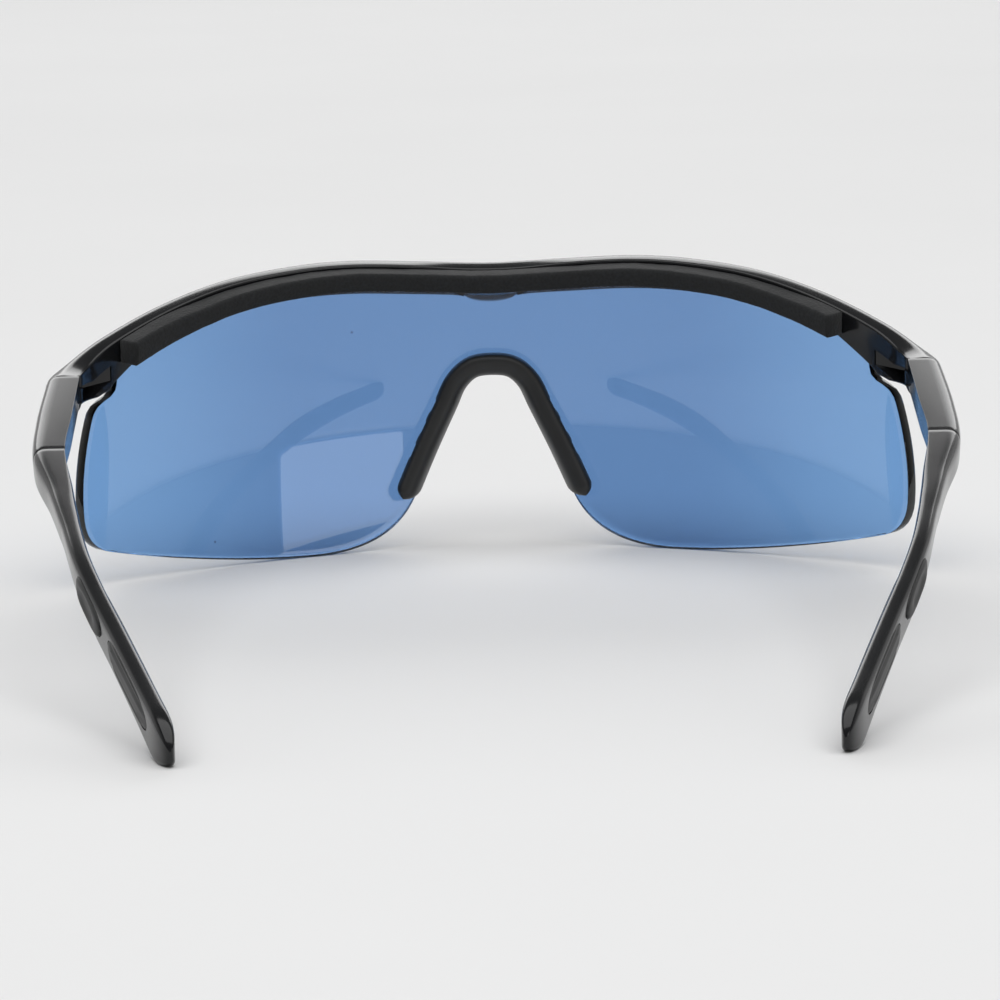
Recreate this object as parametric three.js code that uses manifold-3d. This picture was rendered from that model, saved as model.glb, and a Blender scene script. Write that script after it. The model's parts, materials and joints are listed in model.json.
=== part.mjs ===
// Wrap-round safety glasses: brow frame, one-piece lens, foam brow pad, soft nose bridge and two folding temples
// whose arms slide in and out of their hinge blocks. Millimetres, +Z up. The glasses stand on the lens's lower edge
// and the two temple tips. The lens faces -Y, the temples run to +Y, and the wearer's left is +X.
import * as THREE from 'three';
import { mergeVertices } from 'three/addons/utils/BufferGeometryUtils.js';
import Module from 'manifold-3d';

const wasm = await Module();
wasm.setup();

// ---- Driving dimensions -------------------------------------------------------------------------------------
const GAP = 0.3; // between neighbouring pieces

const LENS_RADIUS = 88; // outer face, seen from above
const LENS_BOW_RADIUS = 88; // outer face, seen from the side
const LENS_BOW_HEIGHT = 27.5; // height at which the lens stands furthest forward
const LENS_THICKNESS = 1.8;
const LENS_SINK = 2.4; // how far the lens's top edge sits below the top of the frame

const FRAME_FRONT = -1.5; // front face of the frame, measured inwards from the lens's outer face
const FRAME_BACK = 3.4; // rear face of the frame, measured the same way
const END_BACK = 4.2; // rear face of the end pieces
const LIP_DEPTH = 5.9; // height of the frame's front lip
const WALL_DEPTH = 5; // height of the frame's rear wall
const CLIP_HALF_WIDTH = 4.2; // rounded lens clip at the middle of the front lip
const CLIP_DROP = 1.1;
const WRAP_ANGLE = THREE.MathUtils.degToRad(45); // where the frame leaves the lens's curve
const SEAM_Y = 39.8; // rear face of the frame's end pieces
const END_X = 69.9; // lens-face line of the frame at the seam

const PIVOT = new THREE.Vector2(67.5, 37.1); // hinge axis, upright
const KNUCKLE_RADIUS = 1.9;
const SLOT_LOW = 31.3; // the fork's slot
const SLOT_HIGH = 33.9;
const PIN_RADIUS = 0.6;
const PIN_LOW = 30.9;
const PIN_HIGH = 35;

const BLOCK_START = 40.15;
const BLOCK_END = 66.7;
const ARM_START = BLOCK_END + GAP;
const ARM_END = 151.6;
const SLIDE_SLOPE = -0.25; // fall of the hinge block per millimetre along Y
const GRIP_RISE = 0.4; // the grips sit a little above the middle of the arm
const TONGUE_LENGTH = 19;
const TONGUE_WIDTH = 2.2;
const TONGUE_HEIGHT = 2.8;
const SOCKET_LENGTH = 21;

const PAD_DEPTH = 4.1; // foam, front to back
const PAD_LEFT_END = 69.6; // its two ends along the lens; it is stuck on a little towards the wearer's left
const PAD_RIGHT_END = -64.6;
const PAD_BOTTOM = -4.5; // its lower face, from the top of the frame

const NOSE_WIDTH = 3.8;
const NOSE_FLARE = 0.14; // how far the saddle spreads for each millimetre behind the lens
const DEPTH_CENTRE = 75.2; // half of the overall depth, which puts the origin below the middle

// ---- Shared helpers -----------------------------------------------------------------------------------------
const { clamp, lerp, smoothstep } = THREE.MathUtils;

const bow = (z) => (z - LENS_BOW_HEIGHT) ** 2 / (2 * LENS_BOW_RADIUS);

// A point given by its distance along the lens, its distance inwards from the lens's outer face and its height.
function onLens(arc, inset, z) {
  const angle = arc / LENS_RADIUS;
  const radius = LENS_RADIUS - inset;
  return new THREE.Vector3(radius * Math.sin(angle), LENS_RADIUS - radius * Math.cos(angle) + bow(z), z);
}

const arcOf = (x) => LENS_RADIUS * Math.asin(x / LENS_RADIUS);

// A smooth line through [position, value] pairs, read as a function of position.
function profile(...pairs) {
  const curve = new THREE.SplineCurve(pairs.map(([at, value]) => new THREE.Vector2(at, value)));
  const points = curve.getPoints(40 * pairs.length);
  return (at) => {
    let i = 1;
    while (i < points.length - 1 && points[i].x < at) i += 1;
    const [a, b] = [points[i - 1], points[i]];
    return lerp(a.y, b.y, clamp((at - a.x) / (b.x - a.x), 0, 1));
  };
}

function geometryFrom(positions, index) {
  const geometry = new THREE.BufferGeometry();
  geometry.setAttribute('position', new THREE.Float32BufferAttribute(positions, 3));
  geometry.setIndex(index);
  return geometry;
}

// A closed body through rings of points, which run anticlockwise seen from the last ring.
function loft(rings) {
  const count = rings[0].length;
  const positions = [];
  const index = [];
  rings.forEach((ring) => ring.forEach((point) => positions.push(point.x, point.y, point.z)));
  for (let r = 0; r < rings.length - 1; r += 1) {
    for (let k = 0; k < count; k += 1) {
      const a = r * count + k;
      const b = r * count + ((k + 1) % count);
      index.push(a, b, b + count, a, b + count, a + count);
    }
  }
  [rings[0], rings[rings.length - 1]].forEach((ring, last) => {
    const centre = ring.reduce((sum, point) => sum.add(point), new THREE.Vector3()).divideScalar(count);
    const hub = positions.length / 3;
    positions.push(centre.x, centre.y, centre.z);
    const start = last ? (rings.length - 1) * count : 0;
    for (let k = 0; k < count; k += 1) {
      const a = start + k;
      const b = start + ((k + 1) % count);
      index.push(...(last ? [hub, a, b] : [hub, b, a]));
    }
  });
  return geometryFrom(positions, index);
}

// A ring shaped between an ellipse and a rectangle: two half sizes and a squareness of 2 (ellipse) or more.
function superellipse(halfWide, halfHigh, squareness, count) {
  const power = 2 / squareness;
  return Array.from({ length: count }, (_, k) => {
    const angle = (2 * Math.PI * (k + 0.5)) / count;
    const [c, s] = [Math.cos(angle), Math.sin(angle)];
    return [halfWide * Math.sign(c) * Math.abs(c) ** power, halfHigh * Math.sign(s) * Math.abs(s) ** power];
  });
}

function solid(geometry) {
  const bare = geometry.clone();
  bare.deleteAttribute('normal');
  bare.deleteAttribute('uv');
  const merged = mergeVertices(bare, 1e-5);
  const vertProperties = new Float32Array(merged.attributes.position.array);
  const triVerts = new Uint32Array(merged.index.array);
  return new wasm.Manifold(new wasm.Mesh({ numProp: 3, vertProperties, triVerts }));
}

function geometryOf(manifold) {
  const { vertProperties, triVerts } = manifold.getMesh();
  return geometryFrom(Array.from(vertProperties), Array.from(triVerts));
}

function boxFrom([x0, y0, z0], [x1, y1, z1]) {
  const box = new THREE.BoxGeometry(x1 - x0, y1 - y0, z1 - z0);
  return solid(box.translate((x0 + x1) / 2, (y0 + y1) / 2, (z0 + z1) / 2));
}

function uprightCylinder(x, y, radius, z0, z1) {
  const cylinder = new THREE.CylinderGeometry(radius, radius, z1 - z0, 24).rotateX(Math.PI / 2);
  return solid(cylinder.translate(x, y, (z0 + z1) / 2));
}

// An upright prism over an outline seen from above; lift raises both its ends by an amount that depends on y.
function prism(points, z0, z1, lift = () => 0) {
  const shape = new THREE.Shape(points.map(([x, y]) => new THREE.Vector2(x, y)));
  const extruded = new THREE.ExtrudeGeometry(shape, { depth: z1 - z0, bevelEnabled: false });
  const { position } = extruded.attributes;
  for (let i = 0; i < position.count; i += 1) {
    position.setZ(i, position.getZ(i) + z0 + lift(position.getY(i)));
  }
  return solid(extruded);
}

// ---- Brow line ----------------------------------------------------------------------------------------------
const seamBlend = new THREE.CubicBezierCurve(
  new THREE.Vector2(LENS_RADIUS * Math.sin(WRAP_ANGLE), LENS_RADIUS * (1 - Math.cos(WRAP_ANGLE))),
  new THREE.Vector2(66.1, 29.7),
  new THREE.Vector2(END_X, 34.3),
  new THREE.Vector2(END_X, SEAM_Y),
);
const WRAP_ARC = LENS_RADIUS * WRAP_ANGLE;
const SEAM_ARC = WRAP_ARC + seamBlend.getLength();

const browTop = profile(
  [-12, 48.25], [0, 47.7], [12, 48.25], [24, 48.9], [34, 48.6], [46, 47.2], [58, 44.3], [70, 40.4], [79, 37.1],
  [SEAM_ARC, 36.15], [SEAM_ARC + 1, 36.05],
);

// Where the frame's line runs, seen from above, at a distance along it from the middle: a point and the
// direction across it, towards the wearer.
function browLine(arc) {
  const side = Math.sign(arc) || 1;
  const along = Math.abs(arc);
  if (along <= WRAP_ARC) {
    const angle = along / LENS_RADIUS;
    return {
      x: side * LENS_RADIUS * Math.sin(angle),
      y: LENS_RADIUS * (1 - Math.cos(angle)),
      inX: -side * Math.sin(angle),
      inY: Math.cos(angle),
    };
  }
  const u = (along - WRAP_ARC) / (SEAM_ARC - WRAP_ARC);
  const point = seamBlend.getPointAt(u);
  const tangent = seamBlend.getTangentAt(u);
  return { x: side * point.x, y: point.y, inX: -side * tangent.y, inY: tangent.x };
}

function onBrow(arc, inset, z) {
  const { x, y, inX, inY } = browLine(arc);
  const straight = smoothstep(Math.abs(arc), WRAP_ARC, SEAM_ARC);
  return new THREE.Vector3(x + inX * inset, y + inY * inset + bow(z) * (1 - straight), z);
}

// ---- Lens ---------------------------------------------------------------------------------------------------
const LENS_COLUMNS = 28;
const LENS_ROWS = 10;
const NOTCH_TOP = 29.7;
const LENS_CORNER_X = 61.6; // upper outer corner, inside the frame

// Half outlines of the lens as (distance from the middle, height).
function lensEdges() {
  const lower = new THREE.Path();
  lower.moveTo(0, NOTCH_TOP);
  lower.bezierCurveTo(3.4, NOTCH_TOP, 5.8, 28.2, 7.1, 25);
  lower.lineTo(13, 9.9);
  lower.bezierCurveTo(14.6, 5.6, 18.6, 0.2, 30, 0);
  lower.bezierCurveTo(42, 0, 55, 2.4, 64, 5.7);
  const side = new THREE.Path();
  side.moveTo(64, 5.7);
  side.bezierCurveTo(66.2, 6.6, 67.3, 8.2, 67.7, 11);
  side.bezierCurveTo(68.2, 16.5, 67.4, 22.5, 66.1, 27.6);
  side.bezierCurveTo(65.8, 28.9, 65, 29.7, 63.7, 30.3);
  side.bezierCurveTo(62.7, 30.8, 62.3, 31.4, 62.2, 32.6);
  side.lineTo(LENS_CORNER_X, browTop(arcOf(LENS_CORNER_X)) - LENS_SINK);
  const upper = Array.from({ length: LENS_COLUMNS + 1 }, (_, i) => {
    const x = (LENS_CORNER_X * i) / LENS_COLUMNS;
    return new THREE.Vector2(x, browTop(arcOf(x)) - LENS_SINK);
  });
  return { lower: lower.getSpacedPoints(LENS_COLUMNS), side: side.getSpacedPoints(LENS_ROWS), upper };
}

// Moves an outline outwards by a distance; its points run anticlockwise and begin and end on the middle line.
function grownOutline(points, distance) {
  return points.map((point, i) => {
    const before = points[Math.max(i - 1, 0)];
    const after = points[Math.min(i + 1, points.length - 1)];
    const along = after.clone().sub(before).normalize();
    const moved = new THREE.Vector2(point.x + along.y * distance, point.y - along.x * distance);
    return i === 0 || i === points.length - 1 ? new THREE.Vector2(0, moved.y) : moved;
  });
}

// The lens between two distances inwards from its outer face, with its outline moved outwards by growth.
function lensBody(outer, inner, growth) {
  const { lower, side, upper } = lensEdges();
  const loop = [...lower, ...side.slice(1), ...upper.slice(0, -1).reverse()];
  const grown = growth ? grownOutline(loop, growth) : loop;
  const low = grown.slice(0, LENS_COLUMNS + 1);
  const edge = grown.slice(LENS_COLUMNS, LENS_COLUMNS + LENS_ROWS + 1);
  const high = grown.slice(LENS_COLUMNS + LENS_ROWS).reverse();
  const place = (i, j) => {
    const u = Math.abs(i) / LENS_COLUMNS;
    const v = j / LENS_ROWS;
    const bulge = edge[j].clone().sub(edge[0].clone().lerp(edge[LENS_ROWS], v)).multiplyScalar(u);
    const flat = low[Math.abs(i)].clone().lerp(high[Math.abs(i)], v).add(bulge);
    return [Math.sign(i) * arcOf(Math.min(flat.x, LENS_RADIUS)), flat.y];
  };
  const positions = [];
  const index = [];
  const columns = 2 * LENS_COLUMNS + 1;
  const rows = LENS_ROWS + 1;
  [outer, inner].forEach((inset) => {
    for (let i = -LENS_COLUMNS; i <= LENS_COLUMNS; i += 1) {
      for (let j = 0; j < rows; j += 1) {
        const [arc, z] = place(i, j);
        positions.push(...onLens(arc, inset, z).toArray());
      }
    }
  });
  const at = (layer, i, j) => layer * columns * rows + i * rows + j;
  const face = (a, b, c, d) => index.push(a, b, c, a, c, d);
  for (let i = 0; i < columns - 1; i += 1) {
    for (let j = 0; j < rows - 1; j += 1) {
      face(at(0, i, j), at(0, i + 1, j), at(0, i + 1, j + 1), at(0, i, j + 1));
      face(at(1, i, j), at(1, i, j + 1), at(1, i + 1, j + 1), at(1, i + 1, j));
    }
    face(at(0, i, 0), at(1, i, 0), at(1, i + 1, 0), at(0, i + 1, 0));
    face(at(0, i, rows - 1), at(0, i + 1, rows - 1), at(1, i + 1, rows - 1), at(1, i, rows - 1));
  }
  for (let j = 0; j < rows - 1; j += 1) {
    const last = columns - 1;
    face(at(0, 0, j), at(0, 0, j + 1), at(1, 0, j + 1), at(1, 0, j));
    face(at(0, last, j), at(1, last, j), at(1, last, j + 1), at(0, last, j + 1));
  }
  return geometryFrom(positions, index);
}

const lensRoom = solid(lensBody(-GAP, LENS_THICKNESS + GAP, GAP));

// ---- Brow frame ---------------------------------------------------------------------------------------------
const FLARE_START = 63.5; // where the rear wall deepens towards the end piece
const FLARE_END = 72;

function wallBottom(arc) {
  if (arc < FLARE_START) return browTop(arc) - WALL_DEPTH;
  const start = browTop(FLARE_START) - WALL_DEPTH;
  if (arc < FLARE_END) return lerp(start, 32.4, (arc - FLARE_START) / (FLARE_END - FLARE_START));
  return lerp(32.4, 30.2, smoothstep(arc, FLARE_END - 4, SEAM_ARC - 3));
}

function frameRing(signedArc) {
  const arc = Math.abs(signedArc);
  const top = browTop(arc);
  const end = smoothstep(arc, WRAP_ARC, SEAM_ARC);
  const clip = arc < CLIP_HALF_WIDTH ? CLIP_DROP * Math.sqrt(1 - (arc / CLIP_HALF_WIDTH) ** 2) : 0;
  const wall = wallBottom(arc);
  const lip = wall - (LIP_DEPTH - WALL_DEPTH) * (1 - smoothstep(arc, 56, FLARE_END)) - clip;
  const back = lerp(FRAME_BACK, END_BACK, end);
  const scoop = 0.45 + 0.4 * (1 - smoothstep(arc, 4, 16));
  const outline = [
    [FRAME_FRONT, lip],
    [back, wall],
    [back, top - lerp(scoop, 0.3, end)],
    [lerp(0.8, 1.6, end), top],
    [lerp(-0.6, -0.9, end), top - lerp(0.35, 0.85, end)],
    [FRAME_FRONT, top - lerp(1.3, 1.25, end)],
  ];
  return outline.map(([inset, z]) => onBrow(signedArc, inset, z));
}

function steps(from, to, count) {
  return Array.from({ length: count + 1 }, (_, i) => lerp(from, to, i / count));
}

function browFrame() {
  const half = [...steps(0, CLIP_HALF_WIDTH, 6), ...steps(7, FLARE_START, 14), ...steps(65, SEAM_ARC, 10)];
  const stations = [...half.slice(1).map((arc) => -arc).reverse(), ...half];
  let body = solid(loft(stations.map(frameRing))).subtract(lensRoom);
  [-1, 1].forEach((side) => {
    const mirror = (points) => points.map(([x, y]) => [side * x, y]);
    const slot = [[61.7, 30.1], [65.8, 33.2], [67.6, 34.6], [69, 35.2], [69.7, 36.4], [69.8, 42], [58, 42], [58, 33.2]];
    const relief = [[56, 27.6], [64.4, 28], [65.6, 31.2], [66.1, 34.3], [66.4, 42], [56, 42]];
    const corner = [[65, 38.6], [66.1, 39.1], [66.8, 41], [65, 41]];
    body = body
      .subtract(prism(mirror(slot), SLOT_LOW, SLOT_HIGH, (y) => 0.5 * Math.max(0, 34.6 - y)))
      .subtract(prism(mirror(relief), 27, SLOT_LOW + 0.05))
      .subtract(prism(mirror(corner), 27, 40))
      .subtract(uprightCylinder(side * PIVOT.x, PIVOT.y, PIN_RADIUS + GAP, 28, PIN_HIGH + GAP));
  });
  return geometryOf(body);
}

// ---- Foam brow pad ------------------------------------------------------------------------------------------
function browPad() {
  const front = FRAME_BACK + GAP;
  const back = front + PAD_DEPTH;
  const ring = (arc) => {
    const crown = browTop(Math.abs(arc));
    const bottom = crown + PAD_BOTTOM;
    const top = crown - lerp(1.45, 0.7, smoothstep(Math.abs(arc), 50, PAD_LEFT_END));
    const outline = [
      [front, bottom],
      [back - 0.4, bottom],
      [back, bottom + 0.4],
      [back, top - 0.3],
      [back - 0.4, top],
      [front, Math.min(top + 0.45, crown - 0.6)],
    ];
    return outline.map(([inset, z]) => onBrow(arc, inset, z));
  };
  return loft(steps(PAD_RIGHT_END, PAD_LEFT_END, 34).map(ring));
}

// ---- Nose bridge --------------------------------------------------------------------------------------------
function noseBridge() {
  const half = [[0, 29.9], [3.2, 29.4], [5.7, 27.1], [7.5, 23.3], [10.8, 16.4], [14.3, 8.6]];
  const points = [...half.slice(1).reverse().map(([x, z]) => [-x, z]), ...half];
  const spine = new THREE.CatmullRomCurve3(points.map(([x, z]) => new THREE.Vector3(x, 0, z)));
  const count = 30;
  const rings = steps(0, 1, count).map((u, i) => {
    const point = spine.getPointAt(u);
    const tangent = spine.getTangentAt(u);
    const drop = clamp((NOTCH_TOP - point.z) / 20, 0, 1);
    const back = lerp(5.4, 10.4, drop ** 1.3);
    const front = -1.3 + bow(point.z) + point.x ** 2 / (2 * LENS_RADIUS);
    const fromEnd = Math.min(i, count - i);
    const close = fromEnd === 0 ? 0.45 : fromEnd === 1 ? 0.85 : 1;
    const ring = superellipse((NOSE_WIDTH / 2) * close, ((back - front) / 2) * (close * 0.4 + 0.6), 3.2, 14);
    return ring.map(([across, deep]) => {
      const y = (front + back) / 2 + deep;
      const out = across - NOSE_FLARE * Math.max(0, y - front);
      return new THREE.Vector3(point.x + tangent.z * out, y, point.z - tangent.x * out);
    });
  });
  return geometryOf(solid(loft(rings)).subtract(lensRoom));
}

// ---- Temples ------------------------------------------------------------------------------------------------
const templeX = profile([30, 68.1], [40, 68.55], [54, 68.9], [67, 68.7], [80, 65.9], [92, 63.5], [102, 61.4],
  [112, 58.5], [124, 54.6], [138, 50.2], [150, 46.5], [156, 44.7]);
const templeTop = profile([30, 38.6], [40, 36.1], [67, 29.3], [80, 26], [92, 22.9], [102, 20.2], [112, 17.1],
  [124, 13.4], [138, 9.3], [147, 6.8], [156, 4.2]);
const templeHigh = profile([30, 5.9], [67, 5.7], [82, 5.1], [96, 4.8], [108, 5.9], [120, 6.3], [138, 6.6], [146, 7.1],
  [150, 6.9], [156, 6.4]);
const templeWide = profile([30, 5.5], [40, 5.6], [54, 5.9], [67, 5.15], [77, 4.2], [88, 3.4], [100, 3], [156, 2.9]);

// One cross-section of a temple: a soft rectangle with its outer top edge bevelled.
function templeRing(y, shrink = 1) {
  const wide = templeWide(y);
  const x = templeX(y);
  const high = templeHigh(y);
  const z = templeTop(y) - high / 2;
  return superellipse((wide / 2) * shrink, (high / 2) * shrink, 4.5, 16).map(([across, up]) => {
    const excess = Math.max(0, across / wide + up / high - 0.72) / 2;
    const lean = 0.35 * (0.5 - up / high) * Math.sign(-across);
    return new THREE.Vector3(x + across + lean - excess * wide, y, z + up - excess * high);
  }).reverse();
}

// Middle of the telescoping tongue, which runs straight through the hinge block.
const tongueZ = (y) => 26.3 + SLIDE_SLOPE * (y - 67);

function tongueBody(y0, y1, grow) {
  return solid(loft([y0, y1].map((y) => {
    const [w, h] = [TONGUE_WIDTH / 2 + grow, TONGUE_HEIGHT / 2 + grow];
    const corners = [[-w, -h], [-w, h], [w, h], [w, -h]];
    return corners.map(([across, up]) => new THREE.Vector3(68.7 + across, y, tongueZ(y) + up));
  })));
}

function hingeBlock() {
  const shell = solid(loft(steps(BLOCK_START, BLOCK_END, 6).map((y) => templeRing(y))));
  const neck = boxFrom([PIVOT.x - 1.5, PIVOT.y, SLOT_LOW + GAP], [69.3, BLOCK_START + 2, SLOT_HIGH - GAP]);
  const knuckle = uprightCylinder(PIVOT.x, PIVOT.y, KNUCKLE_RADIUS, SLOT_LOW + GAP, SLOT_HIGH - GAP);
  const bore = uprightCylinder(PIVOT.x, PIVOT.y, PIN_RADIUS + GAP, 28, 38);
  const socket = tongueBody(BLOCK_END - SOCKET_LENGTH, BLOCK_END + 1, GAP);
  return geometryOf(shell.add(neck).add(knuckle).subtract(bore).subtract(socket));
}

const hingePin = () => new THREE.CylinderGeometry(PIN_RADIUS, PIN_RADIUS, PIN_HIGH - PIN_LOW, 16)
  .rotateX(Math.PI / 2)
  .translate(PIVOT.x, PIVOT.y, (PIN_LOW + PIN_HIGH) / 2);

// A soft grip let into one side of the arm (side 1 is the outer face), as a rounded bar along it.
function gripBody({ side, from, to, high, proud, sunk }, grow = 0) {
  const count = 10;
  const rings = steps(-1, 1, count).map((u) => {
    const y = lerp(from - grow, to + grow, (u + 1) / 2);
    const round = Math.sqrt(Math.max(0, 1 - Math.abs(u) ** 5));
    const size = Math.max(round, 0.25);
    const centre = side * (templeWide(y) / 2 + (proud - sunk) / 2);
    const ring = superellipse(((proud + sunk) / 2) * size + grow, (high / 2) * size + grow, 3, 12);
    const z = templeTop(y) - templeHigh(y) / 2 + GRIP_RISE;
    return ring.map(([across, up]) => new THREE.Vector3(templeX(y) + centre + across, y, z + up)).reverse();
  });
  return loft(rings);
}

const GRIPS = {
  outer_front_grip: { side: 1, from: 106, to: 119, high: 3.6, proud: 0.4, sunk: 0.6 },
  outer_rear_grip: { side: 1, from: 123, to: 144.5, high: 3.6, proud: 0.25, sunk: 0.6 },
  inner_grip: { side: -1, from: 108, to: 146, high: 3.6, proud: 0.4, sunk: 0.6 },
};

function templeArm() {
  const body = steps(ARM_START, 146, 20).map((y) => templeRing(y));
  const tip = [[148, 0.97], [149.8, 0.88], [151, 0.7], [ARM_END, 0.4]].map(([y, shrink]) => templeRing(y, shrink));
  let arm = solid(loft([...body, ...tip]));
  arm = arm.add(tongueBody(ARM_START - TONGUE_LENGTH, ARM_START + 3, 0));
  Object.values(GRIPS).forEach((grip) => {
    arm = arm.subtract(solid(gripBody(grip, GAP)));
  });
  return geometryOf(arm.subtract(boxFrom([30, 120, -5], [80, 170, 0])));
}

// ---- Assembly -----------------------------------------------------------------------------------------------
function plastic(colour, roughness) {
  return new THREE.MeshStandardMaterial({ color: colour, roughness, metalness: 0 });
}

const gloss = plastic(0x14171a, 0.18);
const rubber = plastic(0x2b2d2e, 0.62);
const foam = plastic(0x23272a, 0.9);
const steel = new THREE.MeshStandardMaterial({ color: 0xb9bcc0, roughness: 0.3, metalness: 1 });
const tint = new THREE.MeshStandardMaterial({
  color: 0x6f96c6, roughness: 0.05, metalness: 0, transparent: true, opacity: 0.6,
});

function mirrored(geometry) {
  const flipped = geometry.clone().scale(-1, 1, 1).toNonIndexed();
  const { array } = flipped.attributes.position;
  for (let i = 0; i < array.length; i += 9) {
    const corner = array.slice(i + 3, i + 6);
    array.copyWithin(i + 3, i + 6, i + 9);
    array.set(corner, i + 6);
  }
  return flipped;
}

const glasses = new THREE.Group();
glasses.position.y = -DEPTH_CENTRE;

function add(name, geometry, material) {
  const mesh = new THREE.Mesh(geometry, material);
  mesh.name = name;
  glasses.add(mesh);
}

add('brow_frame', browFrame(), gloss);
add('lens', lensBody(0, LENS_THICKNESS, 0), tint);
add('brow_pad', browPad(), foam);
add('nose_bridge', noseBridge(), rubber);

const templeParts = {
  hinge_block: [hingeBlock(), gloss],
  hinge_pin: [hingePin(), steel],
  temple_arm: [templeArm(), gloss],
};
Object.entries(GRIPS).forEach(([name, grip]) => {
  templeParts[name] = [gripBody(grip), rubber];
});
Object.entries(templeParts).forEach(([name, [geometry, material]]) => {
  add(`left_${name}`, geometry, material);
  add(`right_${name}`, mirrored(geometry), material);
});

export default glasses;
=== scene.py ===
"""Looks for a pair of wrap-round safety glasses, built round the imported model.

Sizes are written in millimetres, measured from the front of the lens at the middle of the glasses, and turned
into the frame's metres when a mesh is made. +Z is up, the lens faces -Y and the wearer's left is +X.
"""

import json
import logging
import math
from collections.abc import Callable, Sequence
from dataclasses import dataclass, field
from enum import Enum

import bmesh
import bpy
import numpy as np
from bpy.types import Material, Node, NodeSocket, NodeTree, Object
from mathutils import Matrix, Vector, noise


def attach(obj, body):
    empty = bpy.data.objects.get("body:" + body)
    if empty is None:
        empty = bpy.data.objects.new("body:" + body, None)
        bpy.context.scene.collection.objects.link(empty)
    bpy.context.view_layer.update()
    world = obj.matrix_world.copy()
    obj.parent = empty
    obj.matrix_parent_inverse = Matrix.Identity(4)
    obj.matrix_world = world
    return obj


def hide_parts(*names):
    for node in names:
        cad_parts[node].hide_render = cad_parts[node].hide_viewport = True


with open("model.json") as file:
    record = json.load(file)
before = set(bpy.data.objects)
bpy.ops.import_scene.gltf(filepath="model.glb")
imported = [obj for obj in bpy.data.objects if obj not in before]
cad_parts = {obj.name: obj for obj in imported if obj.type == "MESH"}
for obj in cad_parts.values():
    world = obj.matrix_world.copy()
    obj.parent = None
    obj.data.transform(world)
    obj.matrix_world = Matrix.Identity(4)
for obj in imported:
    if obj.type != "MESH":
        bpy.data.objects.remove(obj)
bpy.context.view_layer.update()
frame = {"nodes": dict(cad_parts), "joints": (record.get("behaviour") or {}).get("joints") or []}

LOG = logging.getLogger("safety_glasses")
MM = 0.001
GAP = 0.3
PIVOT_X = 67.5
PIVOT_Y = 37.1
BORE_RADIUS = 0.9
ROUND_SIDES = 48
FOLD = next(joint for joint in frame["joints"] if joint["name"] == "left_temple_fold")
DEPTH_CENTRE = PIVOT_Y - FOLD["pos_m"][1] / MM

Pair = tuple[float, float]
Triple = tuple[float, float, float]


class Side(Enum):
    """The wearer's left or right, as the sign of X."""

    LEFT = 1
    RIGHT = -1

    def named(self, part: str) -> str:
        """The name of a node or body on this side."""
        return f"{self.name.lower()}_{part}"


class Slot(Enum):
    """The record's material slots."""

    GLOSS = "gloss_black"
    LENS = "blue_lens"
    FOAM = "foam"
    RUBBER = "soft_rubber"


# ---- Numbers and outlines ----


def clamp(value: float, low: float = 0.0, high: float = 1.0) -> float:
    """Keeps a value between two limits."""
    return max(low, min(high, value))


def mix(a: float, b: float, t: float) -> float:
    """The value a fraction t of the way from a to b."""
    return a + (b - a) * t


def smoothstep(value: float, low: float, high: float) -> float:
    """An eased 0 to 1 as value goes from low to high."""
    t = clamp((value - low) / (high - low))
    return t * t * (3 - 2 * t)


def spread(start: float, end: float, count: int) -> list[float]:
    """Evenly spaced values from start to end, with count spaces between them."""
    return [mix(start, end, i / count) for i in range(count + 1)]


def through(points: np.ndarray, samples: int) -> np.ndarray:
    """Points along the smooth curve through others.

    Args:
        points: The points that it passes through.
        samples: Number of points wanted.

    Returns:
        The points along it.
    """
    last = len(points) - 1
    line = []
    for t in np.linspace(0, last, samples):
        i = min(int(t), last - 1)
        w = t - i
        before, here, there, after = points[max(i - 1, 0)], points[i], points[i + 1], points[min(i + 2, last)]
        enter, leave = (there - before) / 2, (after - here) / 2
        cubic = 2 * here - 2 * there + enter + leave
        square = -3 * here + 3 * there - 2 * enter - leave
        line.append(cubic * w**3 + square * w**2 + enter * w + here)
    return np.array(line)


class Profile:
    """A smooth line through (position, value) pairs, read as a function of position."""

    def __init__(self, *pairs: Pair) -> None:
        """Samples the line once, from pairs with rising positions."""
        self.table = through(np.array(pairs, float), 40 * len(pairs) + 1)

    def __call__(self, at: float) -> float:
        """The value at a position."""
        return float(np.interp(at, self.table[:, 0], self.table[:, 1]))


def bezier(a: Pair, b: Pair, c: Pair, d: Pair, count: int = 60) -> np.ndarray:
    """The count + 1 points of the cubic curve from a to d that has b and c as its handles."""
    t = np.linspace(0, 1, count + 1)[:, None]
    return (1 - t) ** 3 * a + 3 * (1 - t) ** 2 * t * b + 3 * (1 - t) * t**2 * c + t**3 * d


def evenly(points: np.ndarray, count: int) -> np.ndarray:
    """Points spaced evenly along a line of points.

    Args:
        points: The line.
        count: Number of spaces wanted.

    Returns:
        An array of count + 1 points.
    """
    steps = np.linalg.norm(np.diff(points, axis=0), axis=1)
    run = np.concatenate([[0.0], np.cumsum(steps)])
    at = np.linspace(0, run[-1], count + 1)
    return np.stack([np.interp(at, run, points[:, axis]) for axis in range(points.shape[1])], axis=1)


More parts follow.
